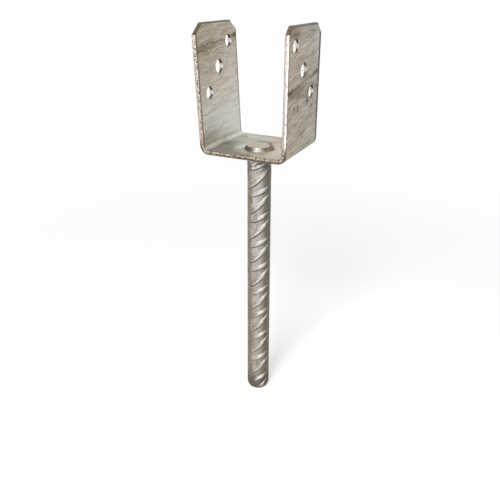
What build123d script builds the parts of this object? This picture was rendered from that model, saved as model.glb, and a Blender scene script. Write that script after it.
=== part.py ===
# Post support that is cast into concrete: a U-shaped fork bent from one strip of flat steel,
# on a length of ribbed reinforcing bar that passes through the fork's seat and is welded there.
# Millimetres, +Z up. The origin is on the bar's axis at the underside of the seat.
# The strip's width runs along Y, and the flanges stand at -X (left) and +X (right).
import os
from math import ceil, cos, radians, sin

from build123d import *

# Fork, bent from flat strip
strip_width = 70.0
strip_thickness = 4.0
fork_gap = 71.0                  # clear width between the flanges at the seat
flange_height = 103.0            # from the seat to the flanges' top edges
bend_radius = 4.0                # inside the two bends
left_lean = 3.1                  # degrees that the left flange has sprung outwards
right_lean = 0.5                 # degrees that the right flange has sprung outwards
edge_break = 0.4                 # chamfer that dulls the strip's cut edges

# Bolt holes, three on a diagonal in each flange, turned half round from one flange to the other
bolt_hole_diameter = 11.0
middle_hole_diameter = 12.5
hole_rise = 20.0                 # height from one hole to the next
hole_step = 19.0                 # sideways from one hole to the next
left_middle_height = 65.7        # above the seat
left_middle_shift = 0.0          # from the flange's middle, along Y
right_middle_height = 67.8
right_middle_shift = -3.3

# Corner cuts at the flanges' tops: along the top edge, then down the side
left_front_cut = (11.5, 9.0)
left_back_cut = (11.0, 8.0)
right_front_cut = (6.5, 6.5)
right_back_cut = (9.0, 8.5)

# Ribbed bar
bar_length = 248.0
bar_core_diameter = 19.6
bar_head_stand = 3.4             # the bar's sawn end stands this far above the seat
bar_turn = -65.0                 # degrees about Z of the row with the alternating ribs
bar_off_middle_x = 4.3           # the bar stands this far right of the seat's middle
bar_off_middle_y = -9.9          # and this far in front of it
bar_hole_clearance = 0.2         # radial, in the seat
bar_end_radius = 5.6             # flat left at the tip
bar_nose_length = 8.0

# Ribs
rib_pitch = 12.1                 # along the bar, from rib to rib
rib_height = 1.3
rib_root_width = 5.0
rib_crest_width = 2.0
rib_half_span = 70.0             # degrees round the bar from a rib's middle to its ends
shallow_rib_slope = 24.5         # degrees from level, every other rib of the alternating row
steep_rib_slope = 43.5
back_rib_slope = 35.0            # all ribs of the other row
first_rib_drop = 8.8             # from the seat's underside to the first rib's middle
seam_rib_height = 0.7            # the two straight ribs between the rows
seam_rib_width = 2.2

# Weld beads round the bar, above and below the seat
upper_weld_leg = 3.2             # outwards from the bar at the seat
upper_weld_crown = 1.3           # outwards from the bar at its sawn end
lower_weld_leg = 5.0             # outwards from the bar at the seat
lower_weld_drop = 6.5            # down the bar

bar_core_radius = bar_core_diameter / 2
seat_top = strip_thickness
bar_top = seat_top + bar_head_stand
bar_tip = bar_top - bar_length
fork_centre = Vector(-bar_off_middle_x, -bar_off_middle_y, seat_top)

os.makedirs("parts", exist_ok=True)


def flange_plane(side, lean):
    """Inner face of a flange: x along the strip's width, y up the flange, normal towards +X."""
    tilt = radians(lean)
    corner = fork_centre + Vector(side * fork_gap / 2, 0, 0)
    return Plane(origin=corner, x_dir=(0, 1, 0), z_dir=(cos(tilt), 0, -side * sin(tilt)))


left_face = flange_plane(-1, left_lean)
right_face = flange_plane(1, right_lean)


def bent_strip():
    """The strip's U profile, bent round its inner line and as wide as the strip."""
    left_top = left_face.from_local_coords(Vector(0, flange_height, 0))
    left_corner = left_face.origin
    right_corner = right_face.origin
    right_top = right_face.from_local_coords(Vector(0, flange_height, 0))
    with BuildPart() as strip:
        with BuildSketch(Plane.XZ.offset(-fork_centre.Y)):
            with BuildLine():
                inner_points = [(p.X, p.Z) for p in (left_top, left_corner, right_corner, right_top)]
                FilletPolyline(*inner_points, radius=bend_radius)
                offset(amount=strip_thickness, side=Side.RIGHT)
            make_face()
        extrude(amount=strip_width / 2, both=True)
    return strip.part


def corner_cut(face, end, cut):
    """Wedge that takes one top corner off a flange, end being -1 at the front and 1 at the back."""
    along_top, down_side = cut
    half_width = strip_width / 2
    margin = strip_thickness
    with BuildPart() as wedge:
        with BuildSketch(face):
            with BuildLine():
                Polyline(
                    (end * (half_width - along_top), flange_height),
                    (end * half_width, flange_height - down_side),
                    (end * (half_width + margin), flange_height - down_side),
                    (end * (half_width + margin), flange_height + margin),
                    (end * (half_width - along_top), flange_height + margin),
                    close=True,
                )
            make_face()
        extrude(amount=2 * strip_thickness, both=True)
    return wedge.part


def bolt_holes(face, middle_shift, middle_height, slant):
    """Three holes through a flange, the outer two a step and a rise from the middle one."""
    with BuildPart() as holes:
        with BuildSketch(face):
            with Locations((middle_shift, middle_height)):
                Circle(middle_hole_diameter / 2)
            for way in (-1, 1):
                across = middle_shift + slant * way * hole_step
                with Locations((across, middle_height + way * hole_rise)):
                    Circle(bolt_hole_diameter / 2)
        extrude(amount=2 * strip_thickness, both=True)
    return holes.part


def outline_edges(fork):
    """The edges that follow the strip's outline: none across its thickness or along a bend."""
    return [
        edge
        for edge in fork.edges()
        if edge.length > 1.01 * strip_thickness
        and not (abs(edge.tangent_at(0.5).Y) > 0.99 and edge.length > 0.99 * strip_width)
    ]


def post_fork():
    fork = bent_strip()
    for face, front, back in (
        (left_face, left_front_cut, left_back_cut),
        (right_face, right_front_cut, right_back_cut),
    ):
        fork -= corner_cut(face, -1, front)
        fork -= corner_cut(face, 1, back)
    fork = chamfer(outline_edges(fork), edge_break)
    fork -= bolt_holes(left_face, left_middle_shift, left_middle_height, 1)
    fork -= bolt_holes(right_face, right_middle_shift, right_middle_height, -1)
    bar_hole_radius = bar_core_radius + bar_hole_clearance
    fork -= Pos(0, 0, seat_top / 2) * Cylinder(bar_hole_radius, 2 * strip_thickness)
    return fork


def crescent_rib(slope):
    """One rib on the bar's +X side: a leaning slice of a thinner, shifted bar, with sloping flanks."""
    end = radians(rib_half_span)
    outer = bar_core_radius + rib_height
    shift = (outer**2 - bar_core_radius**2) / (2 * (outer - bar_core_radius * cos(end)))
    reach = outer - shift
    lean = radians(slope)
    slices = []
    for width, radius in (
        (-rib_root_width, reach - rib_height),
        (-rib_crest_width, reach),
        (rib_crest_width, reach),
        (rib_root_width, reach - rib_height),
    ):
        level = width / 2 / cos(lean)
        slant = Plane(origin=(shift, 0, level), x_dir=(1, 0, 0), z_dir=(0, -sin(lean), cos(lean)))
        slices.append(slant * Ellipse(radius, radius / cos(lean)))
    return loft(slices, ruled=True)


def nose_envelope():
    """Everything that the rounded tip leaves of the bar."""
    outer = bar_core_radius + rib_height
    with BuildPart() as envelope:
        with BuildSketch(Plane.XZ):
            with BuildLine():
                Line((0, bar_top), (outer, bar_top))
                Line((outer, bar_top), (outer, bar_tip + bar_nose_length))
                EllipticalCenterArc(
                    (bar_end_radius, bar_tip + bar_nose_length),
                    outer - bar_end_radius,
                    bar_nose_length,
                    start_angle=270,
                    arc_size=90,
                )
                Line((bar_end_radius, bar_tip), (0, bar_tip))
                Line((0, bar_tip), (0, bar_top))
            make_face()
        revolve(axis=Axis.Z)
    return envelope.part


def ribbed_rod():
    bar = Pos(0, 0, (bar_top + bar_tip) / 2) * Cylinder(bar_core_radius, bar_length)
    shallow = crescent_rib(shallow_rib_slope)
    steep = crescent_rib(steep_rib_slope)
    back = Rot(0, 0, 180) * crescent_rib(back_rib_slope)
    ribs = []
    count = ceil((-bar_tip - first_rib_drop) / rib_pitch)
    for number in range(count):
        drop = first_rib_drop + number * rib_pitch
        ribs.append(Pos(0, 0, -drop) * (steep if number % 2 else shallow))
        ribs.append(Pos(0, 0, -drop) * back)
    seam_length = -bar_tip - lower_weld_drop
    seam_reach = 2 * (bar_core_radius + seam_rib_height)
    ribs.append(Pos(0, 0, (bar_tip - lower_weld_drop) / 2) * Box(seam_rib_width, seam_reach, seam_length))
    below_weld = Pos(0, 0, -lower_weld_drop - bar_length / 2) * Cylinder(2 * bar_core_radius, bar_length)
    bar = bar.fuse(*[rib & below_weld for rib in ribs])
    return Rot(0, 0, bar_turn) * (bar & nose_envelope())


def weld_ring(*corners):
    """A ring of weld metal round the bar, turned from the corners of its section."""
    with BuildPart() as ring:
        with BuildSketch(Plane.XZ):
            Polygon(*corners, align=None)
        revolve(axis=Axis.Z)
    return ring.part


def upper_weld():
    """A steep collar that fills the step between the seat and the bar's sawn end."""
    return weld_ring(
        (bar_core_radius, seat_top),
        (bar_core_radius + upper_weld_leg, seat_top),
        (bar_core_radius + upper_weld_crown, bar_top),
        (bar_core_radius, bar_top),
    )


def lower_weld():
    """A fillet bead in the corner under the seat."""
    return weld_ring(
        (bar_core_radius, 0),
        (bar_core_radius, -lower_weld_drop),
        (bar_core_radius + lower_weld_leg, 0),
    )


pieces = {
    "post_fork": post_fork(),
    "ribbed_rod": ribbed_rod(),
    "upper_weld": upper_weld(),
    "lower_weld": lower_weld(),
}
for name, piece in pieces.items():
    export_step(piece, f"parts/{name}.step")
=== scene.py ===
from math import radians

import bpy
from mathutils import Matrix, Vector


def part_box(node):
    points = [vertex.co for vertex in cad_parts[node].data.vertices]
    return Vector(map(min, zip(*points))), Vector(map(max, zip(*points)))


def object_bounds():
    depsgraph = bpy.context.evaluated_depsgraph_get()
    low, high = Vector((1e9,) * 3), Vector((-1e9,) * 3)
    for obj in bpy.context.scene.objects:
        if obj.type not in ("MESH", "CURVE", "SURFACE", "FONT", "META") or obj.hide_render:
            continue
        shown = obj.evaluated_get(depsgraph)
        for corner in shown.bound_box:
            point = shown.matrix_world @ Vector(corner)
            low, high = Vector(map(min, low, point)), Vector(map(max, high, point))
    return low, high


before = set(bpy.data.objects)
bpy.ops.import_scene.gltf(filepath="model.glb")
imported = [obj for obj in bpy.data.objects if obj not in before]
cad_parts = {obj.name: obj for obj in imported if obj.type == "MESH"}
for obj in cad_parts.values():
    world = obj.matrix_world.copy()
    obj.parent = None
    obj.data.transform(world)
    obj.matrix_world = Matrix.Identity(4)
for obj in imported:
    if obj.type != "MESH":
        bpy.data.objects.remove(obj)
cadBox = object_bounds()

# sizes of the part that the finishes follow, in millimetres
forkLow, forkHigh = [1000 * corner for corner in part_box("post_fork")]
stripMiddle = (forkLow.y + forkHigh.y) / 2      # of the strip's width
stripHalf = (forkHigh.y - forkLow.y) / 2
seatTop = 1000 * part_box("upper_weld")[0].z
barTip = 1000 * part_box("ribbed_rod")[0].z
print("post support: frame loaded")


def srgb(red, green, blue):
    # picture colour, 0 to 255, as the linear colour that shaders take
    def linear(value):
        value = value / 255
        return value / 12.92 if value <= 0.04045 else ((value + 0.055) / 1.055) ** 2.4

    return (linear(red), linear(green), linear(blue), 1.0)


def startMaterial(name):
    material = bpy.data.materials.new(name)
    material.use_nodes = True
    tree = material.node_tree
    tree.nodes.clear()
    return material, tree


def feed(tree, socket, value):
    # a socket takes a plain value or another node's output
    if isinstance(value, bpy.types.NodeSocket):
        tree.links.new(value, socket)
    else:
        socket.default_value = value


def put(tree, kind, inputs=None, **settings):
    made = tree.nodes.new("ShaderNode" + kind)
    for key, value in settings.items():
        setattr(made, key, value)
    for key, value in (inputs or {}).items():
        feed(tree, made.inputs[key], value)
    return made


def mathNode(tree, operation, *values, clamp=False):
    settings = {"operation": operation, "use_clamp": clamp}
    return put(tree, "Math", dict(enumerate(values)), **settings).outputs[0]


def times(tree, *values):
    result = values[0]
    for value in values[1:]:
        result = mathNode(tree, "MULTIPLY", result, value)
    return result


def plus(tree, base, source, amount):
    # the base and so much of the source
    return mathNode(tree, "MULTIPLY_ADD", source, amount, base)


def minus(tree, first, second):
    return mathNode(tree, "SUBTRACT", first, second)


def plusNoise(tree, base, source, amount):
    # noise wanders round a half, so it is first centred on nought
    return plus(tree, base, minus(tree, source, 0.5), amount)


def positive(tree, value):
    return mathNode(tree, "ABSOLUTE", value)


def vectorLength(tree, vector):
    return put(tree, "VectorMath", {0: vector}, operation="LENGTH").outputs["Value"]


def fromBarAxis(tree, place):
    level = put(tree, "VectorMath", {0: place, 1: (1, 1, 0)}, operation="MULTIPLY").outputs[0]
    return vectorLength(tree, level)


def towards(tree, parts, way):
    # how far a vector, given as its parts, reaches in a level direction, given as X and Y
    return plus(tree, times(tree, parts[1], way[1]), parts[0], way[0])


def step(tree, value, low, high, toLow=0.0, toHigh=1.0):
    # smooth step of a value between two levels, which may run downwards
    levels = {"Value": value, "From Min": low, "From Max": high, "To Min": toLow, "To Max": toHigh}
    return put(tree, "MapRange", levels, interpolation_type="SMOOTHSTEP").outputs[0]


def blend(tree, factor, first, second, mode="MIX"):
    made = put(tree, "Mix", data_type="RGBA", blend_type=mode)
    feed(tree, made.inputs[0], factor)
    feed(tree, made.inputs[6], first)
    feed(tree, made.inputs[7], second)
    return made.outputs[2]


def ramp(tree, value, *stops):
    # colours along a value, each stop a level and its colour
    made = put(tree, "ValToRGB", {0: value})
    elements = made.color_ramp.elements
    while len(elements) < len(stops):
        elements.new(1.0)
    for element, (level, colour) in zip(elements, stops):
        element.position = level
        element.color = colour
    return made.outputs[0]


def noise(tree, place, scale, detail=3.0, roughness=0.5, output=0):
    settings = {"Vector": place, "Scale": scale, "Detail": detail, "Roughness": roughness}
    return put(tree, "TexNoise", settings).outputs[output]


def stretched(tree, place, scale, climb=0.0):
    # a pattern's place: the pattern climbs towards the back, and has its own scale on each axis
    turned = put(tree, "Mapping", {"Vector": place, "Rotation": (radians(-climb), 0, 0)}).outputs[0]
    return put(tree, "Mapping", {"Vector": turned, "Scale": scale}).outputs[0]


def inMillimetres(tree):
    # the place on the part in millimetres, that place's parts, and the surface's direction
    coordinates = put(tree, "TexCoord")
    scaled = {0: coordinates.outputs["Object"], "Scale": 1000.0}
    place = put(tree, "VectorMath", scaled, operation="SCALE").outputs[0]
    at = put(tree, "SeparateXYZ", {0: place}).outputs
    facing = put(tree, "SeparateXYZ", {0: coordinates.outputs["Normal"]}).outputs
    return place, at, facing


def patch(tree, place, centre, size, climb=0.0):
    # soft oval round a centre; size is its half lengths
    turn = (radians(climb), 0, 0)
    inside = {"Vector": place, "Location": centre, "Rotation": turn, "Scale": size}
    local = put(tree, "Mapping", inside, vector_type="TEXTURE").outputs[0]
    return step(tree, vectorLength(tree, local), 1.0, 0.25)


def wornGloss(tree, source, roughness):
    # roughness that wanders between a lowest and a highest value
    return step(tree, source, 0.3, 0.7, *roughness)


def finishMaterial(tree, colour, metallic, gloss, height, bump):
    depth, strength = bump
    relief = {"Height": height, "Distance": depth, "Strength": strength}
    normal = put(tree, "Bump", relief).outputs[0]
    shading = {"Base Color": colour, "Metallic": metallic, "Roughness": gloss, "Normal": normal}
    shader = put(tree, "BsdfPrincipled", shading)
    put(tree, "OutputMaterial", {"Surface": shader.outputs[0]})


# Lengths are millimetres. The two numbers of a place, depth, level or facing are where a smooth
# step begins and where it is full, and two more are the amounts at those ends, if not 0 and 1.
fork = {
    # the zinc's tone from dark to pale: level and colour
    "tones": [
        (0.0, srgb(88, 78, 62)),
        (0.25, srgb(142, 129, 110)),
        (0.5, srgb(185, 173, 155)),
        (0.75, srgb(209, 202, 190)),
        (1.0, srgb(230, 228, 222)),
    ],
    "metallic": 0.6,
    "roughness": (0.38, 0.54),
    "bump": (0.00035, 0.55),            # metres deep, and strength
    # how strong the tone's patterns are
    "fineStreaks": 1.3,
    "seatStreaks": 0.3,                 # the fine run marks on the seat
    "broadStreaks": 0.6,
    "clouds": 0.34,
    "grain": 0.8,
    # their noises: scale per millimetre, detail and roughness
    "fineNoise": (1.0, 5.0, 0.65),
    "broadNoise": (1.0, 4.0, 0.55),
    "cloudNoise": (0.055, 4.0, 0.6),
    "grainNoise": (0.8, 3.0, 0.7),
    # the run marks' scales along X, Y and Z, and how they lie
    "fineStretch": (0.05, 0.06, 0.9),
    "broadStretch": (0.02, 0.025, 0.24),
    "streakClimb": 10.0,                # degrees that they climb towards the back
    "wander": (0, 10, 6),               # how far marks stray along X, Y and Z
    "wanderScale": 0.09,
    "fineRelief": 0.5,                  # in the bump
    "grainRelief": 0.4,
    # tints over the tone, warm or cool
    "warm": (1.03, 0.995, 0.96, 1.0),
    "cool": (0.95, 1.015, 1.10, 1.0),
    "coolAll": 0.1,                     # a little everywhere
    "coolBackY": (0.0, 38.0),           # on the right flange
    "coolFootZ": (60.0, 12.0, 0.0, 0.45),       # on the left flange
    "coolSeatX": (0.0, -26.0, 0.0, 1.4),
    "coolClouds": 1.2,
    "seatShade": (0.93, 0.95, 0.955, 1.0),
    "seatGreen": (1.0, 1.05, 1.06, 1.0),        # to the seat's left
    "seatGreenX": (0.0, -20.0),
    # where the flanges and the seat are
    "leftX": (-34.0, -39.0),
    "rightX": (20.0, 30.0),
    "flangeFacing": (0.7, 0.9),         # along X
    "seatFacing": (0.6, 0.9),           # upwards
    "seatBelowZ": (20.0, 12.0),
    "bendRadius": 4.0,                  # inside the bends
    "insideMiddle": (-4.3, -0.0228),    # X of the gap's middle at the seat, and per mm upwards
    "insideHalf": (35.5, 0.0314),       # half the gap, and per mm upwards
    # the left flange is paler to its foot, which is painted light, and paler to its back
    "paleFootZ": (92.0, 24.0, 0.0, 0.36),
    "paleBackY": (-25.0, 38.0, 0.0, 0.10),
    # stained bands right across a flange: side, height at the bar, rise per mm, half width,
    # strength in the middle and at the ends
    "bands": [
        (-1, 90.0, 0.13, 7.5, -0.18, -0.18),
        (1, 60.9, 0.165, 3.4, -0.24, -0.28),
    ],
    "bandEnds": (12.0, 30.0),           # from the strip's middle
    # marks: centre X, Y, Z, half length along Y, half width along Z, climb in degrees, strength
    "marks": [
        (-44.5, -14.0, 85.0, 18, 7.0, 4, -0.10),
        (-44.8, 42.0, 94.0, 8, 4.0, 0, -0.22),
        (-43.1, 30.0, 62.5, 18, 3.0, 6, 0.10),
        (-43.4, 26.0, 69.0, 34, 8.0, 0, 0.09),
        (-42.7, 10.0, 58.0, 30, 2.2, 2, -0.07),
        (-41.1, -10.0, 33.0, 16, 2.0, 5, -0.08),
        (-40.5, -20.0, 10.0, 30, 12.0, 0, -0.19),
        (-40.5, -10.0, 13.5, 22, 5.0, 5, -0.12),
        # the next two are painted shade, dimming the light on the left bend
        (-39.0, 4.0, 6.0, 44, 4.5, 0, -0.24),
        (-38.0, 34.0, 6.5, 18, 4.5, 0, -0.16),
        (-41.5, 20.0, 28.0, 26, 8.0, 0, 0.06),
        (36.0, -20.0, 102.0, 20, 9.0, 0, -0.30),
        (35.5, 10.0, 55.0, 48, 8.5, 4, -0.22),
        (35.6, -21.0, 57.2, 9, 3.4, 8, -0.34),
        (35.6, 37.0, 66.4, 12, 4.0, 7, -0.22),
        (35.4, 8.0, 42.0, 30, 1.5, 6, -0.08),
        (35.4, -12.0, 40.0, 14, 1.2, 6, -0.10),
        (35.6, 12.0, 67.0, 10, 5.0, 8, -0.18),
        (35.6, 24.0, 54.0, 10, 5.0, 4, -0.10),
        (36.0, -8.0, 98.0, 14, 8.0, 0, -0.10),
        (36.0, 38.0, 89.0, 15, 17.0, 0, 0.16),
    ],
    "markReach": 16.0,                  # each mark's half depth, right through the strip
    # pits in the right flange: Y, Z, half length, half height
    "pits": [
        (16.8, 46.4, 3.4, 4.4),
        (28.2, 39.8, 2.8, 2.8),
        (-4.6, 44.0, 2.0, 2.6),
        (-4.4, 40.4, 2.2, 1.8),
        (-12.0, 43.4, 2.2, 1.4),
        (31.0, 57.6, 3.4, 1.5),
        (38.0, 55.6, 2.8, 1.8),
        (-21.8, 44.6, 1.8, 2.2),
        (24.0, 38.2, 1.8, 1.3),
    ],
    "pit": srgb(62, 54, 44),
    "pitStrength": 0.85,
    "pitX": 36.0,
    "pitReach": 9.0,
    # spots on the seat: X, Y, half lengths, strength
    "seatSpots": [
        (-28.5, 32.5, 3.2, 2.0, -0.45),
        (-27.0, 16.0, 3.0, 10.0, -0.05),
        (12.5, 2.5, 4.0, 2.0, -0.3),
        (-10.0, 34.0, 30.0, 8.0, 0.14),
        (-30.0, -4.0, 6.0, 8.0, 0.10),
        (-8.0, -2.0, 5.0, 7.0, 0.12),
        (0.0, -24.0, 7.0, 4.0, -0.34),
        (-7.0, -14.0, 8.0, 8.0, 0.12),
        (0.0, 19.0, 8.0, 7.0, -0.12),
        (12.0, 8.0, 5.0, 6.0, 0.12),
        (-17.0, -4.0, 7.0, 16.0, 0.24),
        (18.0, -6.0, 8.0, 24.0, 0.12),
    ],
    "spotReach": 3.0,
    # the weld's smoke on the seat, by distance from the bar's axis
    "smoke": (16.0, 11.0),
    "smokeWander": 9.0,
    "smokeStrength": -0.12,
    # the seat's darker left front corner, by distance in a direction
    "cornerWay": (0.8, 0.6),
    "corner": (-12.0, -24.0),
    "cornerWander": 10.0,
    "cornerStrength": -0.22,
    # dark lines just inside the flanges' edges; the one inside the left flange's front edge is a
    # painted shadow line
    "edgeLine": srgb(84, 72, 56),
    "backLine": srgb(70, 65, 58),
    "backLineY": (42.0, 43.0),
    "backLineWider": 1.9,               # on the right flange, where it is stronger too
    "backLineX": (-40.0, 34.0, 0.5, 0.95),
    "frontLineY": (-23.0, -24.2),
    "frontLineX": (-30.0, -36.0),       # only on the left flange
    "frontLineStrength": 0.7,
    "topLineZ": (104.9, 106.0),
    "topLineStrength": 0.75,
    "brokenEdge": (0.6, 0.45),          # from the strip's sides
    "brokenFacing": (0.3, 0.5),         # along Y, between flat and sheared faces
    "shearedFacing": (0.95, 0.85),
    "brokenEdgeStrength": 0.85,
    # the flanges' tops and cut corners
    "cornerCut": srgb(76, 63, 49),
    "cornerCutLight": srgb(112, 94, 74),
    "cornerCutBite": (0.4, 0.8),
    "topFacing": (0.3, 0.5),
    "topAboveZ": (90.0, 94.0),
}


def wandering(tree, place):
    # the place pushed about by a soft noise, so that marks don't run straight
    cloud = noise(tree, place, fork["wanderScale"], output="Color")
    centred = put(tree, "VectorMath", {0: cloud, 1: (0.5, 0.5, 0.5)}, operation="SUBTRACT").outputs[0]
    moved = {0: centred, 1: fork["wander"], 2: place}
    return put(tree, "VectorMath", moved, operation="MULTIPLY_ADD").outputs[0]


def intoThickness(tree, at):
    # mm into the strip from the inside of the U, followed round both bends
    height = minus(tree, at[2], seatTop)
    middle = plus(tree, fork["insideMiddle"][0], height, fork["insideMiddle"][1])
    half = plus(tree, fork["insideHalf"][0] - fork["bendRadius"], height, fork["insideHalf"][1])
    sideways = minus(tree, positive(tree, minus(tree, at[0], middle)), half)
    downwards = minus(tree, fork["bendRadius"], height)
    beside = mathNode(tree, "MAXIMUM", sideways, 0.0)
    below = mathNode(tree, "MAXIMUM", downwards, 0.0)
    corner = put(tree, "CombineXYZ", {0: beside, 2: below}).outputs[0]
    return minus(tree, vectorLength(tree, corner), fork["bendRadius"])


def zincTone(tree, shaken, onSeat, fine, cloud, grain):
    # fine and broad run marks along the strip's width, clouds and grain
    broadPlace = stretched(tree, shaken, fork["broadStretch"], fork["streakClimb"])
    broad = noise(tree, broadPlace, *fork["broadNoise"])
    fineStreaks = step(tree, onSeat, 0.0, 1.0, fork["fineStreaks"], fork["seatStreaks"])
    tone = plusNoise(tree, 0.5, fine, fineStreaks)
    tone = plusNoise(tree, tone, broad, fork["broadStreaks"])
    tone = plusNoise(tree, tone, cloud, fork["clouds"])
    return plusNoise(tree, tone, grain, fork["grain"])


def flangeTone(tree, tone, at, shaken, left, fromMiddle):
    # the left flange's paler parts, with painted light at its foot, the marks, and the bands right
    # across
    # painted light towards the left flange's foot
    footwards = step(tree, at[2], *fork["paleFootZ"])
    backwards = step(tree, at[1], *fork["paleBackY"])
    tone = plus(tree, tone, mathNode(tree, "ADD", footwards, backwards), left)
    for x, y, z, halfLength, halfWidth, climb, strength in fork["marks"]:
        size = (fork["markReach"], halfLength, halfWidth)
        tone = plus(tree, tone, patch(tree, shaken, (x, y, z), size, climb), strength)
    shakenZ = put(tree, "SeparateXYZ", {0: shaken}).outputs[2]
    for side, height, rise, halfWidth, inMiddle, atEnds in fork["bands"]:
        line = plus(tree, height, at[1], rise)
        away = positive(tree, minus(tree, shakenZ, line))
        onSide = step(tree, times(tree, at[0], side), *fork["rightX"])
        strength = step(tree, fromMiddle, *fork["bandEnds"], inMiddle, atEnds)
        tone = plus(tree, tone, times(tree, step(tree, away, halfWidth, 0.0), onSide), strength)
    return tone


def seatTone(tree, tone, place, at, onSeat, cloud):
    # the weld's smoke, the dark corner and the spots
    ragged = plusNoise(tree, fromBarAxis(tree, place), cloud, fork["smokeWander"])
    smoke = times(tree, step(tree, ragged, *fork["smoke"]), onSeat)
    tone = plus(tree, tone, smoke, fork["smokeStrength"])
    ragged = plusNoise(tree, towards(tree, at, fork["cornerWay"]), cloud, fork["cornerWander"])
    corner = times(tree, step(tree, ragged, *fork["corner"]), onSeat)
    tone = plus(tree, tone, corner, fork["cornerStrength"])
    for x, y, halfX, halfY, strength in fork["seatSpots"]:
        spot = patch(tree, place, (x, y, seatTop), (halfX, halfY, fork["spotReach"]))
        tone = plus(tree, tone, times(tree, spot, onSeat), strength)
    return tone


def tinted(tree, colour, at, left, right, onSeat, cloud):
    # cooler at the right flange's back, the left one's foot and the seat's left
    level = plus(tree, fork["coolAll"], step(tree, at[1], *fork["coolBackY"]), right)
    level = plus(tree, level, step(tree, at[2], *fork["coolFootZ"]), left)
    level = plus(tree, level, step(tree, at[0], *fork["coolSeatX"]), onSeat)
    level = plusNoise(tree, level, cloud, fork["coolClouds"])
    tint = blend(tree, level, fork["warm"], fork["cool"])
    colour = blend(tree, 1.0, colour, tint, "MULTIPLY")
    colour = blend(tree, onSeat, colour, fork["seatShade"], "MULTIPLY")
    leftSeat = times(tree, step(tree, at[0], *fork["seatGreenX"]), onSeat)
    return blend(tree, leftSeat, colour, fork["seatGreen"], "MULTIPLY")


def pitted(tree, colour, place):
    for y, z, halfLength, halfHeight in fork["pits"]:
        size = (fork["pitReach"], halfLength, halfHeight)
        pit = times(tree, patch(tree, place, (fork["pitX"], y, z), size), fork["pitStrength"])
        colour = blend(tree, pit, colour, fork["pit"])
    return colour


def edgeLines(tree, colour, at, right, upright):
    fromBack = plus(tree, at[1], right, fork["backLineWider"])
    shown = step(tree, at[0], *fork["backLineX"])
    back = times(tree, step(tree, fromBack, *fork["backLineY"]), upright, shown)
    # painted shadow line inside the left flange's front edge
    onLeft = step(tree, at[0], *fork["frontLineX"])
    front = step(tree, at[1], *fork["frontLineY"])
    front = times(tree, front, upright, onLeft, fork["frontLineStrength"])
    top = times(tree, step(tree, at[2], *fork["topLineZ"]), upright, fork["topLineStrength"])
    colour = blend(tree, back, colour, fork["backLine"])
    colour = blend(tree, front, colour, fork["edgeLine"])
    return blend(tree, top, colour, fork["edgeLine"])


def brokenEdges(tree, colour, across, fromMiddle):
    # the narrow slants along the sheared sides
    slanted = step(tree, across, *fork["brokenFacing"])
    slanted = times(tree, slanted, step(tree, across, *fork["shearedFacing"]))
    edgeStart, edgeFull = [stripHalf - inwards for inwards in fork["brokenEdge"]]
    nearSide = step(tree, fromMiddle, edgeStart, edgeFull)
    broken = times(tree, slanted, nearSide, fork["brokenEdgeStrength"])
    return blend(tree, broken, colour, fork["edgeLine"])


def topCuts(tree, colour, at, facing, bite):
    # the cut corners and the flanges' tops
    onTop = step(tree, facing[2], *fork["topFacing"])
    onTop = times(tree, onTop, step(tree, at[2], *fork["topAboveZ"]))
    rubbed = step(tree, bite, *fork["cornerCutBite"])
    cutTone = blend(tree, rubbed, fork["cornerCut"], fork["cornerCutLight"])
    return blend(tree, onTop, colour, cutTone)


cutSides = {
    "facing": (0.85, 0.95),
    "lowZ": (17.0, 9.0),                # below this, the seat and the bends
    # the pale part, which ends raggedly in the strip's thickness
    "cream": srgb(208, 199, 190),       # high on the left flange
    "tan": srgb(200, 187, 172),         # lower down
    "tanZ": (72.0, 28.0),
    # up the right flange the pale part is a painted reflection, near white
    "white": srgb(241, 235, 229),       # up the right flange
    "biteNoise": (0.45, 3.0, 0.6),
    "speckleNoise": (0.85, 4.0, 0.7),
    "biteRagged": 1.8,
    "speckleRagged": 1.4,
    # pits where the bite, a noise round a half, is low
    "pit": srgb(78, 61, 45),
    "biteSpeckle": 1.7,
    "biteRight": 0.12,                  # fewer up the right flange
    "biteLow": -0.06,                   # more along the seat
    "pitted": (0.48, 0.42),
    "pitStrength": (0.9, 0.5),          # the second up the right flange
    "biteRelief": 2.4,                  # in the bump
    # the darker strip beside it, outside on the left and below, and inside on the right
    "mauve": srgb(168, 157, 155),       # up the flanges
    "brown": srgb(70, 54, 39),          # along the seat and the bends
    "outerDepth": (2.2, 2.9),           # mm from the inside of the U
    "outerStrength": 0.85,
    "outerFlecks": (0.64, 0.54, 0.25, 0.95),
    "innerDepth": (2.5, 1.8),
    "innerFlecks": (0.6, 0.5, 0.5, 0.95),
    # the dark lip along the seat's upper edge, in the colour of the edge lines
    "lipDepth": (1.1, 0.5),
    "lipFlecks": (0.56, 0.46, 0.3, 0.9),
}


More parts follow.
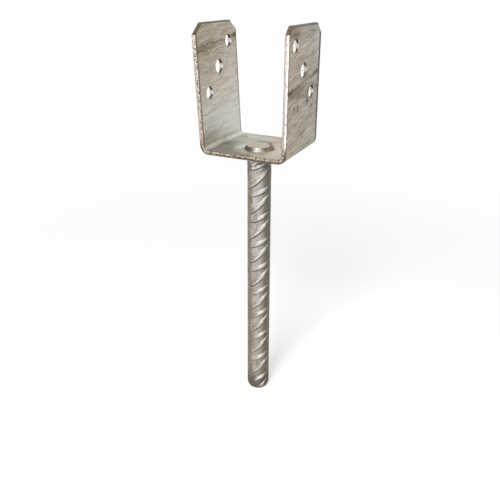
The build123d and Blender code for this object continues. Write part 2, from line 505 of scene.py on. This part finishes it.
def cutSideTone(tree, at, right, depth, coarse, speckle):
    # colour of the sheared sides, and how deeply they are bitten
    low = step(tree, at[2], *cutSides["lowZ"])
    up = minus(tree, 1.0, low)
    upRight = times(tree, right, up)
    upLeft = times(tree, up, minus(tree, 1.0, right))
    ragged = plusNoise(tree, depth, coarse, cutSides["biteRagged"])
    ragged = plusNoise(tree, ragged, speckle, cutSides["speckleRagged"])

    pale = blend(tree, step(tree, at[2], *cutSides["tanZ"]), cutSides["cream"], cutSides["tan"])
    # painted reflection: near white up the right flange
    pale = blend(tree, upRight, pale, cutSides["white"])
    bite = plusNoise(tree, coarse, speckle, cutSides["biteSpeckle"])
    bite = plus(tree, bite, upRight, cutSides["biteRight"])
    bite = plus(tree, bite, low, cutSides["biteLow"])
    pitStrength = step(tree, upRight, 0.0, 1.0, *cutSides["pitStrength"])
    pits = times(tree, step(tree, bite, *cutSides["pitted"]), pitStrength)
    pale = blend(tree, pits, pale, cutSides["pit"])

    shade = blend(tree, low, cutSides["mauve"], cutSides["brown"])
    outerShare = plus(tree, low, upLeft, cutSides["outerStrength"])
    outer = times(tree, step(tree, ragged, *cutSides["outerDepth"]), outerShare)
    outer = mathNode(tree, "MINIMUM", outer, step(tree, speckle, *cutSides["outerFlecks"]))
    colour = blend(tree, outer, pale, shade)
    innerFlecks = step(tree, speckle, *cutSides["innerFlecks"])
    inner = times(tree, step(tree, ragged, *cutSides["innerDepth"]), upRight, innerFlecks)
    colour = blend(tree, inner, colour, cutSides["mauve"])
    lipFlecks = step(tree, speckle, *cutSides["lipFlecks"])
    lip = times(tree, step(tree, ragged, *cutSides["lipDepth"]), low, lipFlecks)
    return blend(tree, lip, colour, fork["edgeLine"]), bite


boltHoles = {
    # the walls' pale colour is a painted highlight, and the hood above a painted shade
    "wallHighlight": srgb(252, 250, 247),        # bright and polished, deep in and at mid height
    "hoodShade": srgb(58, 53, 45),           # above
    "sole": srgb(108, 101, 95),         # below
    # where the walls are: facing along X, heights, and distance from the strip's middle
    "facingX": (0.5, 0.3),
    "lowZ": (36.0, 38.0),
    "highZ": (103.0, 101.5),
    "fromMiddle": (33.5, 33.0),
    # the bright part starts at these depths in the left and the right flange
    "brightDepth": (2.7, 2.2),
    "bright": (-0.4, 0.5),              # mm past that depth
    "brightRagged": 2.0,
    "midHeight": (0.42, 0.22),          # how far the wall faces up or down
    "midHeightRagged": 0.7,
    "midHeightStrength": 0.7,
    "hoodFacing": (0.1, -0.1),
    "polish": -0.25,                    # added to the roughness
}


def holeWallTone(tree, at, facing, fromMiddle, depth, right, speckle):
    # where the bolt holes' walls are, their colour with painted highlight and painted shade, and
    # where they are polished
    acrossWall = step(tree, positive(tree, facing[0]), *boltHoles["facingX"])
    aboveLow = step(tree, at[2], *boltHoles["lowZ"])
    belowHigh = step(tree, at[2], *boltHoles["highZ"])
    inside = step(tree, fromMiddle, *boltHoles["fromMiddle"])
    mask = times(tree, acrossWall, times(tree, aboveLow, belowHigh), inside)
    beyond = minus(tree, depth, step(tree, right, 0.0, 1.0, *boltHoles["brightDepth"]))
    beyond = plusNoise(tree, beyond, speckle, boltHoles["brightRagged"])
    outwards = plus(tree, 1.0, right, -2.0)         # 1 on the left, -1 on the right
    deep = step(tree, times(tree, beyond, outwards), *boltHoles["bright"])
    slope = plusNoise(tree, positive(tree, facing[2]), speckle, boltHoles["midHeightRagged"])
    midHeight = step(tree, slope, *boltHoles["midHeight"])
    hooded = step(tree, facing[2], *boltHoles["hoodFacing"])
    # painted shade where the wall faces down, painted highlight at mid height and deep in
    shade = blend(tree, hooded, boltHoles["sole"], boltHoles["hoodShade"])
    bright = times(tree, midHeight, boltHoles["midHeightStrength"])
    bright = mathNode(tree, "MAXIMUM", deep, bright)
    return mask, blend(tree, bright, shade, boltHoles["wallHighlight"]), times(tree, mask, deep)


def zincStrip():
    material, tree = startMaterial("zincStrip")
    place, at, facing = inMillimetres(tree)
    shaken = wandering(tree, place)
    left = step(tree, at[0], *fork["leftX"])
    right = step(tree, at[0], *fork["rightX"])
    upright = step(tree, positive(tree, facing[0]), *fork["flangeFacing"])
    facingUp = step(tree, facing[2], *fork["seatFacing"])
    onSeat = times(tree, facingUp, step(tree, at[2], *fork["seatBelowZ"]))
    fromMiddle = positive(tree, minus(tree, at[1], stripMiddle))

    finePlace = stretched(tree, shaken, fork["fineStretch"], fork["streakClimb"])
    fine = noise(tree, finePlace, *fork["fineNoise"])
    cloud = noise(tree, place, *fork["cloudNoise"])
    grain = noise(tree, place, *fork["grainNoise"])
    tone = zincTone(tree, shaken, onSeat, fine, cloud, grain)
    tone = flangeTone(tree, tone, at, shaken, left, fromMiddle)
    tone = seatTone(tree, tone, place, at, onSeat, cloud)
    colour = ramp(tree, tone, *fork["tones"])
    colour = tinted(tree, colour, at, left, right, onSeat, cloud)
    colour = pitted(tree, colour, place)
    colour = edgeLines(tree, colour, at, right, upright)

    across = positive(tree, facing[1])
    sheared = step(tree, across, *cutSides["facing"])
    coarse = noise(tree, place, *cutSides["biteNoise"])
    speckle = noise(tree, place, *cutSides["speckleNoise"])
    depth = intoThickness(tree, at)
    cutSide, bite = cutSideTone(tree, at, right, depth, coarse, speckle)
    colour = blend(tree, sheared, colour, cutSide)
    colour = brokenEdges(tree, colour, across, fromMiddle)
    inHole, holeTone, polished = holeWallTone(tree, at, facing, fromMiddle, depth, right, speckle)
    colour = blend(tree, inHole, colour, holeTone)
    colour = topCuts(tree, colour, at, facing, bite)

    height = plus(tree, times(tree, grain, fork["grainRelief"]), fine, fork["fineRelief"])
    height = plus(tree, height, times(tree, bite, sheared), cutSides["biteRelief"])
    gloss = wornGloss(tree, cloud, fork["roughness"])
    gloss = plus(tree, gloss, polished, boltHoles["polish"])
    metal = step(tree, polished, 0.0, 1.0, fork["metallic"], 1.0)
    finishMaterial(tree, colour, metal, gloss, height, fork["bump"])
    return material


bar = {
    # the zinc's tone from dark to pale
    "dark": srgb(128, 122, 112),
    "plain": srgb(167, 161, 154),
    "light": srgb(204, 200, 196),
    "darkTone": (0.15, 0.5),
    "lightTone": (0.5, 0.85),
    "metallic": 0.12,
    "roughness": (0.40, 0.56),
    "bump": (0.0004, 0.6),              # metres deep, and strength
    # how strong the tone's patterns are, and their noises
    "clouds": 0.9,
    "cloudNoise": (0.12, 4.0, 0.6),
    "cloudRelief": 0.6,
    "runs": 0.7,
    "runNoise": (1.0, 4.0, 0.6),
    "runStretch": (0.35, 0.35, 0.05),
    "grain": 1.3,
    "grainNoise": (1.1, 3.0, 0.65),
    "grainRelief": 0.5,
    # down the sides, by how far the surface faces the way given next: a brown stain and painted
    # shade on the left, painted shade in grey-green on the right, darkest at both outlines; each
    # gives where it starts and is full, strength and colour
    "stainAndShadeWay": (0.908, 0.419),
    "stainShadeClouds": 0.8,
    "stainShadeGrain": 0.9,
    "stainsAndSideShade": [
        (-0.50, -0.80, 0.85, srgb(126, 112, 92)),
        (-0.82, -1.0, 0.8, srgb(86, 77, 61)),
        (0.15, 0.65, 0.9, srgb(106, 98, 79)),
        (0.85, 1.05, 0.4, srgb(86, 77, 61)),
    ],
    "lowTint": (0.94, 0.87, 0.79, 1.0),         # browner towards the tip
    "lowTintZ": (-60.0, -190.0, 0.0, 0.9),
    # weld spatter under the seat, between the stains
    "spatter": srgb(240, 238, 235),
    "spatterNoise": (0.5, 3.0, 0.6),
    "spatterZ": (-15.0, -9.0),
    "spatterLevel": (0.46, 0.54),
    "spatterLeft": (-0.9, -0.6),
    "spatterRight": (0.6, 0.1),
    "spatterStrength": 0.9,
    "spatterMetallic": 0.8,             # added to the zinc's
    # darker and browner near the tip
    "tipDark": srgb(66, 54, 40),
    "tipDarkZ": (-214.0, -232.0),
    "tipDarkWander": 20.0,
    "tipDarkStrength": 0.8,
    # crests painted bright as a highlight on the lit front, between the side stains, and brightest at
    # the tip, where they are rubbed
    "crestHighlight": srgb(220, 219, 221),
    "crestRadius": (10.1, 10.84),
    "crestLeft": (-0.55, 0.0),
    "crestRight": (0.75, 0.35),
    "rubbed": 0.6,
    "highlightAndWearTip": 0.4,
    # painted shade, with some dirt, on the ribs' lower flanks, which face down; less on the rounded
    # tip
    "ribShade": srgb(58, 53, 47),
    "ribShadeFacing": (-0.06, -0.35),
    "ribShadeStrength": 0.9,
    "ribShadeAtTip": (2, 9, 0.5, 1.0),          # mm above the tip
    # the sawn end, with a dark rim behind
    "sawnEnd": srgb(190, 181, 167),
    "sawnEndDark": srgb(146, 135, 119),
    "sawnFacing": (0.8, 0.95),          # upwards
    "sawnAboveSeat": (0, 2),
    "sawnClouds": 0.8,
    "sawnTone": (0.3, 0.62),
    "sawnStrength": 0.95,
    "sawnRim": srgb(84, 66, 48),
    "rimWay": (0.6, 0.8),
    "rimBehind": (3.5, 6.0),
    "rimRadius": (8.3, 9.0),
    "rimStrength": 0.85,
}


def barTone(tree, place, cloud, grain):
    runs = noise(tree, stretched(tree, place, bar["runStretch"]), *bar["runNoise"])
    tone = plusNoise(tree, 0.5, cloud, bar["clouds"])
    tone = plusNoise(tree, tone, runs, bar["runs"])
    tone = plusNoise(tree, tone, grain, bar["grain"])
    colour = blend(tree, step(tree, tone, *bar["darkTone"]), bar["dark"], bar["plain"])
    return blend(tree, step(tree, tone, *bar["lightTone"]), colour, bar["light"])


def stainedAndSideShaded(tree, colour, at, sideways):
    # stains, with painted shade down both sides, darkest at the outlines
    for start, full, strength, stainAndShade in bar["stainsAndSideShade"]:
        colour = blend(tree, step(tree, sideways, start, full, 0.0, strength), colour, stainAndShade)
    lowDown = step(tree, at[2], *bar["lowTintZ"])
    return blend(tree, lowDown, colour, bar["lowTint"], "MULTIPLY")


def weldSpatter(tree, place, at, sideways):
    # where drops of weld metal stick to the bar
    blotch = noise(tree, place, *bar["spatterNoise"])
    rightEnd = step(tree, sideways, *bar["spatterRight"])
    onFront = times(tree, rightEnd, step(tree, sideways, *bar["spatterLeft"]))
    underSeat = step(tree, at[2], *bar["spatterZ"])
    return times(tree, underSeat, step(tree, blotch, *bar["spatterLevel"]), onFront)


def ribHighlightAndShade(tree, colour, at, facing, radius, sideways, nearTip):
    # crests painted pale as a highlight, and painted shade with some dirt under the ribs
    rubbed = plus(tree, bar["rubbed"], nearTip, bar["highlightAndWearTip"])
    leftEnd = step(tree, sideways, *bar["crestLeft"])
    between = times(tree, leftEnd, step(tree, sideways, *bar["crestRight"]))
    # painted highlight on the crests, strongest at the tip where they are also rubbed
    crestHighlight = times(tree, step(tree, radius, *bar["crestRadius"]), rubbed, between)
    colour = blend(tree, crestHighlight, colour, bar["crestHighlight"])
    aboveTip = step(tree, minus(tree, at[2], barTip), *bar["ribShadeAtTip"])
    # painted shade where the surface faces down, under the ribs
    under = times(tree, step(tree, facing[2], *bar["ribShadeFacing"]), aboveTip)
    return blend(tree, times(tree, under, bar["ribShadeStrength"]), colour, bar["ribShade"])


def sawnEnd(tree, colour, at, facing, radius, cloud, grain):
    mottled = plusNoise(tree, grain, cloud, bar["sawnClouds"])
    tone = blend(tree, step(tree, mottled, *bar["sawnTone"]), bar["sawnEndDark"], bar["sawnEnd"])
    behind = step(tree, towards(tree, at, bar["rimWay"]), *bar["rimBehind"])
    rim = times(tree, behind, step(tree, radius, *bar["rimRadius"]), bar["rimStrength"])
    tone = blend(tree, rim, tone, bar["sawnRim"])
    aboveSeat = step(tree, minus(tree, at[2], seatTop), *bar["sawnAboveSeat"])
    onEnd = times(tree, step(tree, facing[2], *bar["sawnFacing"]), aboveSeat)
    return blend(tree, times(tree, onEnd, bar["sawnStrength"]), colour, tone)


def zincBar():
    material, tree = startMaterial("zincBar")
    place, at, facing = inMillimetres(tree)
    radius = fromBarAxis(tree, place)
    cloud = noise(tree, place, *bar["cloudNoise"])
    grain = noise(tree, place, *bar["grainNoise"])
    sideways = towards(tree, facing, bar["stainAndShadeWay"])
    sideways = plusNoise(tree, sideways, cloud, bar["stainShadeClouds"])
    sideways = plusNoise(tree, sideways, grain, bar["stainShadeGrain"])
    colour = barTone(tree, place, cloud, grain)
    colour = stainedAndSideShaded(tree, colour, at, sideways)
    spattered = weldSpatter(tree, place, at, sideways)
    colour = blend(tree, times(tree, spattered, bar["spatterStrength"]), colour, bar["spatter"])
    nearTip = plusNoise(tree, at[2], cloud, bar["tipDarkWander"])
    nearTip = step(tree, nearTip, *bar["tipDarkZ"])
    colour = blend(tree, times(tree, nearTip, bar["tipDarkStrength"]), colour, bar["tipDark"])
    colour = ribHighlightAndShade(tree, colour, at, facing, radius, sideways, nearTip)
    colour = sawnEnd(tree, colour, at, facing, radius, cloud, grain)

    height = plus(tree, times(tree, grain, bar["grainRelief"]), cloud, bar["cloudRelief"])
    gloss = wornGloss(tree, cloud, bar["roughness"])
    metal = plus(tree, bar["metallic"], spattered, bar["spatterMetallic"])
    finishMaterial(tree, colour, metal, gloss, height, bar["bump"])
    return material


collar = {
    "plain": srgb(121, 122, 124),
    "metallic": 0.4,
    "roughness": (0.33, 0.50),
    "bump": (0.0006, 0.5),
    "cloudNoise": (0.3, 4.0, 0.6),
    "grainNoise": (0.4, 3.0, 0.7),
    "grainRelief": 0.4,
    # painted shade to the left, smut in flecks, brown stain to the right
    "wander": 8.0,
    "smutAndShade": srgb(84, 79, 66),
    "shadeLeftX": (0.5, -3.0, 0.0, 0.95),
    "smutFlecks": (0.52, 0.60, 0.0, 0.75),
    "brown": srgb(156, 143, 118),
    "brownX": (3.0, 6.5, 0.0, 0.9),
    "brownFlecks": (0.38, 0.50, 0.3, 1.0),
    # the ring round the bar's sawn end, as dull as the end, with a dark arc behind
    "top": srgb(178, 168, 153),
    "topFacing": (0.7, 0.9),
    "backArc": srgb(66, 50, 34),
    "backArcWay": (0.5, 0.87),
    "backArcBehind": (3.0, 6.0),
    "backArcRadius": (9.7, 10.2),
    "backArcStrength": 0.9,
}


def collarMetal():
    material, tree = startMaterial("collarMetal")
    place, at, facing = inMillimetres(tree)
    cloud = noise(tree, place, *collar["cloudNoise"])
    grain = noise(tree, place, *collar["grainNoise"])
    ragged = plusNoise(tree, at[0], cloud, collar["wander"])
    # the left side is painted darker, as shade
    shadedLeft = step(tree, ragged, *collar["shadeLeftX"])
    colour = blend(tree, shadedLeft, collar["plain"], collar["smutAndShade"])
    browned = step(tree, ragged, *collar["brownX"])
    browned = times(tree, browned, step(tree, grain, *collar["brownFlecks"]))
    colour = blend(tree, browned, colour, collar["brown"])
    colour = blend(tree, step(tree, grain, *collar["smutFlecks"]), colour, collar["smutAndShade"])

    onTop = step(tree, facing[2], *collar["topFacing"])
    colour = blend(tree, onTop, colour, collar["top"])
    behind = step(tree, towards(tree, at, collar["backArcWay"]), *collar["backArcBehind"])
    atBar = step(tree, fromBarAxis(tree, place), *collar["backArcRadius"])
    backArc = times(tree, behind, atBar, onTop, collar["backArcStrength"])
    colour = blend(tree, backArc, colour, collar["backArc"])
    height = plus(tree, cloud, grain, collar["grainRelief"])
    gloss = wornGloss(tree, cloud, collar["roughness"])
    finishMaterial(tree, colour, collar["metallic"], gloss, height, collar["bump"])
    return material


bead = {
    "plain": srgb(226, 223, 219),
    "dark": srgb(122, 104, 84),
    "plainTone": (0.36, 0.58),          # from dark to plain
    "metallic": 0.6,
    "roughness": (0.40, 0.56),
    "bump": (0.0006, 0.6),
    "grainNoise": (0.8, 4.0, 0.65),
    "ripples": 26,                      # in one turn round the bar
    "rippleWander": 9.0,                # radians
    "wanderScale": 0.25,
    "rippleTone": 0.02,
    "rippleHeight": 0.1,
}


def beadMetal():
    material, tree = startMaterial("beadMetal")
    place, at = inMillimetres(tree)[:2]
    turn = mathNode(tree, "ARCTAN2", at[1], at[0])
    wander = times(tree, noise(tree, place, bead["wanderScale"]), bead["rippleWander"])
    ripple = mathNode(tree, "SINE", plus(tree, wander, turn, bead["ripples"]))
    grain = noise(tree, place, *bead["grainNoise"])
    tone = plus(tree, grain, ripple, bead["rippleTone"])
    colour = blend(tree, step(tree, tone, *bead["plainTone"]), bead["dark"], bead["plain"])
    height = plus(tree, grain, ripple, bead["rippleHeight"])
    gloss = wornGloss(tree, grain, bead["roughness"])
    finishMaterial(tree, colour, bead["metallic"], gloss, height, bead["bump"])
    return material


def dress(node, material):
    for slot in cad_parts[node].material_slots:
        slot.material = material


dress("post_fork", zincStrip())
dress("ribbed_rod", zincBar())
dress("upper_weld", collarMetal())
dress("lower_weld", beadMetal())
print("post support: zinc, sheared sides and weld metal on the nodes")

# lengths from here on are metres
studio = {
    "floorColour": srgb(182, 182, 181),
    "floorHalf": 6.0,
    "floorLift": 0.64,        # brings the lit floor up to white in the picture
    "floorFade": (0.3, 0.8),  # from the part's origin, where the floor turns to plain white
    "white": (1.0, 1.0, 1.0, 1.0),
    "surroundings": 0.12,     # what the sky gives to dull surfaces
    "aim": (0.0, 0.0, -0.06),
    # name, place, diameter, power in watts, colour
    "lamps": [
        ("keySoftbox", (0.085, -1.218, 0.894), 0.7, 28.0, (1.0, 0.995, 0.985)),
        ("sideSoftbox", (1.4, -0.5, 0.5), 0.9, 2.0, (1.0, 0.995, 0.985)),
        ("topSoftbox", (0.0, 0.2, 1.5), 1.0, 4.0, (1.0, 1.0, 1.0)),
    ],
}


def paleFloor():
    material, tree = startMaterial("paleFloor")
    rays = put(tree, "LightPath").outputs
    seen = mathNode(tree, "ADD", rays["Is Camera Ray"], rays["Is Glossy Ray"], clamp=True)
    shading = {
        "Base Color": studio["floorColour"],
        "Roughness": 0.9,
        "Specular IOR Level": 0.0,
        "Emission Color": studio["white"],
        "Emission Strength": times(tree, seen, studio["floorLift"]),
    }
    lit = put(tree, "BsdfPrincipled", shading).outputs[0]
    plain = put(tree, "Emission", {"Color": studio["white"], "Strength": 1.0}).outputs[0]
    away = vectorLength(tree, put(tree, "TexCoord").outputs["Object"])
    faded = times(tree, step(tree, away, *studio["floorFade"]), seen)
    shader = put(tree, "MixShader", {0: faded, 1: lit, 2: plain})
    put(tree, "OutputMaterial", {"Surface": shader.outputs[0]})
    return material


def makeFloor():
    # the bar's tip stands on it
    half, z = studio["floorHalf"], cadBox[0][2]
    mesh = bpy.data.meshes.new("floor")
    corners = [(-half, -half, z), (half, -half, z), (half, half, z), (-half, half, z)]
    mesh.from_pydata(corners, [], [(0, 1, 2, 3)])
    mesh.materials.append(paleFloor())
    floor = bpy.data.objects.new("floor", mesh)
    bpy.context.collection.objects.link(floor)


def makeWorld():
    world = bpy.data.worlds.new("studio")
    bpy.context.scene.world = world
    world.use_nodes = True
    tree = world.node_tree
    tree.nodes.clear()
    rays = put(tree, "LightPath").outputs
    seen = mathNode(tree, "ADD", rays["Is Camera Ray"], rays["Is Glossy Ray"])
    seen = mathNode(tree, "ADD", seen, rays["Is Transmission Ray"], clamp=True)
    strength = step(tree, seen, 0.0, 1.0, studio["surroundings"], 1.0)
    sky = put(tree, "Background", {"Color": studio["white"], "Strength": strength})
    put(tree, "OutputWorld", {"Surface": sky.outputs[0]})


def makeLamps():
    aim = Vector(studio["aim"])
    for name, place, diameter, power, colour in studio["lamps"]:
        light = bpy.data.lights.new(name, "AREA")
        light.shape = "DISK"
        light.size = diameter
        light.energy = power
        light.color = colour
        lamp = bpy.data.objects.new(name, light)
        lamp.location = place
        lamp.rotation_euler = (aim - Vector(place)).to_track_quat("-Z", "Y").to_euler()
        bpy.context.collection.objects.link(lamp)


view = {
    "place": (0.2008, -0.4293, 0.1345),
    "turn": 24.69,            # degrees, round to the right of the front
    "down": 20.59,            # degrees
    "roll": 0.465,            # degrees
    "lens": 41.06,            # mm, on a sensor of 36 mm
    "shift": (-0.0253, -0.0993),
}


def makeCamera():
    data = bpy.data.cameras.new("photoCamera")
    data.sensor_width = 36
    data.lens = view["lens"]
    data.shift_x, data.shift_y = view["shift"]
    data.clip_start = 0.01
    camera = bpy.data.objects.new("photoCamera", data)
    turn = Matrix.Rotation(radians(view["turn"]), 4, "Z")
    tilt = Matrix.Rotation(radians(90 - view["down"]), 4, "X")
    roll = Matrix.Rotation(radians(view["roll"]), 4, "Z")
    camera.matrix_world = Matrix.Translation(view["place"]) @ turn @ tilt @ roll
    bpy.context.collection.objects.link(camera)
    bpy.context.scene.camera = camera


makeFloor()
makeWorld()
makeLamps()
makeCamera()
bpy.context.scene.view_settings.view_transform = "Standard"
print("post support: floor, light and camera placed")
